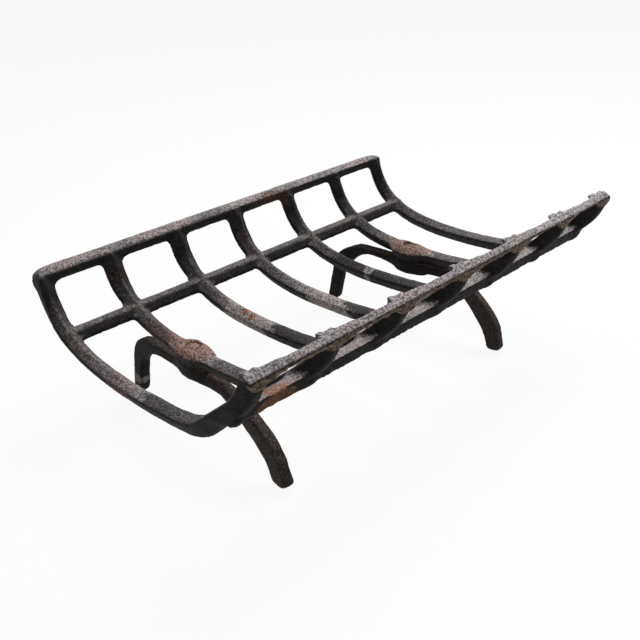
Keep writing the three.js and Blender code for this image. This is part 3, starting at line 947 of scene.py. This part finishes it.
def cast_iron(material, soot, warm, ash_and_painted_light, pink_ash_and_painted_light, rusty, marks=()):
    """Sooty iron with ash and painted light on what looks up, rust in patches, the marks one by
    one, and specks.
    """
    tree, here, normal = start_material(material)
    where = axes(tree, here)
    speckle = cloud(tree, here, 2.3 * mm, 2, 0.7)
    grain = cloud(tree, here, 7 * mm, 3, 0.65, 2.0)
    blotch = cloud(tree, here, 38 * mm, 3, 0.6, 5.0)
    colour = mixed(tree, grain.ramp(0.4, 0.65), soot, warm)

    # What looks up gets pale ash and painted light from above. Less of both stays on the back
    # sweep, except on the top of the back rail.
    facing_up_ash_and_light = normal[2].ramp(0.3, 0.97)
    swept = where[1].ramp(20 * mm, 110 * mm) * where[2].ramp(179 * mm, 176 * mm)
    ash_and_painted_light_cover = facing_up_ash_and_light * (blotch.ramp(0.3, 0.65) * 0.5 + 0.5) * (grain * 0.7 + 0.6) * (1 - swept * 0.5)
    ash_and_painted_light_colour = mixed(tree, (blotch + grain).ramp(0.85, 1.2), ash_and_painted_light, pink_ash_and_painted_light)
    colour = mixed(tree, ash_and_painted_light_cover.between(0, 1), colour, ash_and_painted_light_colour)

    patches = blotch.ramp(0.6, 0.75) * grain.ramp(0.45, 0.6) * 0.4
    colour = mixed(tree, patches, colour, rusty)
    ragged = (grain - 0.5) * 0.9
    for strength, centre, reach, paint in marks:
        share = oval_place(where, centre, reach, ragged) * strength
        colour = mixed(tree, share, colour, paint)

    # The grainy skin: black pores, and white specks on what looks up.
    lit = (speckle.ramp(0.4, 0.62) * 0.8 + 0.25).between(0, 1)
    colour = mixed(tree, lit, pore_black, colour)
    salt = speckle.ramp(0.62, 0.72) * (facing_up_ash_and_light * 0.2 + 0.03)
    colour = mixed(tree, salt, colour, salt_white)
    shine(tree, colour, 0.8 - speckle * 0.2, speckle + grain, 0.7 * mm)


# %% [markdown]
# The photograph shows where fire, ash and rust have marked this grate. Each mark is an oval place
# on the casting with a colour of its own, so that they can be moved, changed or left out one by
# one. A row gives its strength, its centre, its reach along x, y and z in millimetres, and its
# colour.

# Some marks paint light and shade as well: shade under the back rail, light on the front's lip and
# on the tops of the rails.
# %% List the marks
black, grey = (0.010, 0.010, 0.011), (0.055, 0.048, 0.045)
pale, rosy, rust = (0.42, 0.37, 0.35), (0.36, 0.22, 0.18), (0.30, 0.11, 0.045)
worn_foot = (0.075, 0.055, 0.048)
lip = corner_of(tip, heading(at_tip), tip_cut.normalized())(6, 14) / mm
basket_marks = [
    # Pale ash with spots of rust on two ribs, and the soot in front of it.
    (0.85, (-86, 42, 104), (16, 38, 20), pale),
    (0.8, (-85, 47, 106), (5, 5, 8), rust),
    (0.7, (-88, 34, 105), (5, 4, 8), rust),
    (0.85, (0, -2, 104), (16, 38, 20), pale),
    (0.9, (-86, -36, 108), (18, 38, 26), black),
    (0.85, (5, -48, 111), (15, 34, 22), black),
    # The darker ribs on the right, one of them with a pale spot.
    (0.9, (86, 0, 115), (18, 82, 42), (0.02, 0.019, 0.021)),
    (0.6, (172, -60, 115), (16, 60, 30), (0.04, 0.036, 0.038)),
    (0.55, (252, 0, 115), (18, 100, 40), (0.045, 0.043, 0.045)),
    (0.7, (86, 21, 104), (10, 7, 14), pale),
    # The two ribs on the left, and both bosses.
    (0.75, (-253, -58, 112), (18, 50, 32), (0.025, 0.023, 0.025)),
    (0.35, (-253, 26, 106), (16, 24, 20), (0.28, 0.16, 0.13)),
    (0.6, (-172, 78, 110), (16, 22, 26), (0.11, 0.065, 0.05)),
    (0.6, (-172, -42, 110), (16, 34, 26), grey),
    (0.8, (-171, 28, 111), (24, 33, 12), rosy),
    (0.8, (169, 28, 111), (24, 33, 12), rosy),
    # Rust on the back rail and at the front's left corner.
    (0.75, (60, 167, 167), (40, 14, 14), (0.16, 0.06, 0.035)),
    (0.7, (-212, -146, 151), (15, 12, 7), (0.42, 0.18, 0.10)),
    (0.8, (-216, -156, 142), (22, 9, 7), (0.20, 0.10, 0.045)),
    # The front's lip, tan, with painted light on its face that looks forward and down; and the
    # tips, pale with ash and a painted highlight along their top.
    (0.7, (0, lip.x, lip.y), (500, 6, 5), (0.28, 0.19, 0.14)),
    (0.3, (0, -176, 194), (500, 9, 5), (0.56, 0.51, 0.52)),
    (0.35, (190, -176, 195), (90, 14, 7), (0.62, 0.58, 0.58)),
    # Painted shade under the back rail, and ash with painted light along its top.
    (0.6, (0, 163, 166), (400, 14, 12), (0.030, 0.028, 0.029)),
    (0.3, (150, 177, 182), (170, 10, 4), (0.50, 0.47, 0.48)),
]
leg_marks = [
    (0.6, (-164, 157, 20), (10, 12, 8), pale),
    (0.7, (-175, -82, 46), (20, 42, 64), worn_foot),
    (0.7, (175, -82, 46), (20, 42, 64), worn_foot),
]
print(len(basket_marks), "marks on the basket and", len(leg_marks), "on the legs")

# %% [markdown]
# Each finish has five colours: soot, a warmer black, ash, the pink of burnt ash, and rust. The two
# colours of ash also paint the light on faces that look up. Bolts and nuts have the same layers as
# the castings in browner colours, and no marks.

# %% Fill in the materials
cast_iron(
    basket_iron, (0.005, 0.005, 0.005), (0.022, 0.018, 0.017), (0.50, 0.47, 0.48),
    (0.46, 0.37, 0.36), (0.20, 0.09, 0.05), basket_marks,
)
cast_iron(
    leg_iron, (0.004, 0.004, 0.004), (0.018, 0.014, 0.012), (0.13, 0.115, 0.11),
    (0.16, 0.09, 0.07), (0.16, 0.06, 0.035), leg_marks,
)
cast_iron(
    rusted_bolt, (0.05, 0.03, 0.02), (0.14, 0.08, 0.06), (0.40, 0.27, 0.22),
    (0.42, 0.25, 0.19), (0.35, 0.15, 0.07),
)
cast_iron(
    rusted_nut, (0.03, 0.018, 0.014), (0.10, 0.05, 0.03), (0.2, 0.12, 0.09),
    (0.2, 0.10, 0.07), (0.3, 0.12, 0.05),
)
for material in (basket_iron, leg_iron, rusted_bolt, rusted_nut):
    print(material.name, "has", len(material.node_tree.nodes), "nodes")

# %% [markdown]
# ## Floor and light
# The photograph shows the grate against plain white. A pale floor that is mostly white to the
# camera gives that, and still takes the grate's shadow.

# %% Lay the floor
def seen_directly(tree):
    """1 for what the camera sees, also in a mirror or through glass, and 0 for rays of light."""
    rays = tree.nodes.new("ShaderNodeLightPath")
    kinds_of_ray = ("Is Camera Ray", "Is Glossy Ray", "Is Transmission Ray")
    camera_ray, glossy, through = [Field(tree, rays.outputs[kind]) for kind in kinds_of_ray]
    return least(camera_ray + glossy + through, 1)


floor_mesh = bpy.data.meshes.new("floor")
far = 6.0
corners = [(-far, -far, 0), (far, -far, 0), (far, far, 0), (-far, far, 0)]
floor_mesh.from_pydata(corners, [], [(0, 1, 2, 3)])
floor = bpy.data.objects.new("floor", floor_mesh)
bpy.context.scene.collection.objects.link(floor)
floor_paint = bpy.data.materials.new("floor_paint")
floor_paint.use_nodes = True
floor_tree = floor_paint.node_tree
floor_tree.nodes.clear()
matt = floor_tree.nodes.new("ShaderNodeBsdfDiffuse")
matt.inputs["Color"].default_value = (0.8, 0.8, 0.8, 1)
white = floor_tree.nodes.new("ShaderNodeEmission")
white.inputs["Strength"].default_value = 1
blend = floor_tree.nodes.new("ShaderNodeMixShader")
plug(floor_tree, seen_directly(floor_tree) * 0.92, blend.inputs[0])
floor_tree.links.new(matt.outputs[0], blend.inputs[1])
floor_tree.links.new(white.outputs[0], blend.inputs[2])
floor_out = floor_tree.nodes.new("ShaderNodeOutputMaterial")
floor_tree.links.new(blend.outputs[0], floor_out.inputs["Surface"])
floor_mesh.materials.append(floor_paint)
print("the floor is", 2 * far, "m wide")

# %% [markdown]
# One large soft lamp above does most of the lighting, as the upper faces are much lighter than
# the sides. A weak one in front on the left and an even light from all round fill the shadows.

# %% Light the room
world = bpy.data.worlds.new("room")
bpy.context.scene.world = world
world.use_nodes = True
room = world.node_tree
room.nodes.clear()
room_light = room.nodes.new("ShaderNodeBackground")
room_light.inputs["Color"].default_value = (1, 1, 1, 1)
plug(room, seen_directly(room) * 0.7 + 0.3, room_light.inputs["Strength"])
room_out = room.nodes.new("ShaderNodeOutputWorld")
room.links.new(room_light.outputs[0], room_out.inputs["Surface"])


def lamp(name, energy, size, location):
    """A square lamp of this size in metres, turned towards the grate."""
    data = bpy.data.lights.new(name, "AREA")
    data.energy = energy
    data.size = size
    light = bpy.data.objects.new(name, data)
    light.location = location
    towards = Vector((0, 0, 0.1)) - Vector(location)
    light.rotation_euler = towards.to_track_quat("-Z", "Y").to_euler()
    bpy.context.scene.collection.objects.link(light)
    print(name, "gives", energy, "W")


lamp("key_light", 34, 1.0, (0.8, 0.1, 1.7))
lamp("fill_light", 1.5, 1.5, (-1.4, -0.9, 1.0))
bpy.context.scene.view_settings.view_transform = "Standard"

# %% [markdown]
# ## The pieces in place of the CAD parts
# Each casting stands for the CAD solid of the same name. Nothing moves on a grate, so every piece
# rides on the one body.

# %% Say what each piece is
castings = {"basket": basket, "left_leg": left_leg, "right_leg": right_leg}
for node, piece in {**castings, **fasteners}.items():
    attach(piece, "root")
    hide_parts(node)
    slot = piece.data.materials[0].name.split(".")[0]
    print(piece.name, "stands for", node, "in", slot)
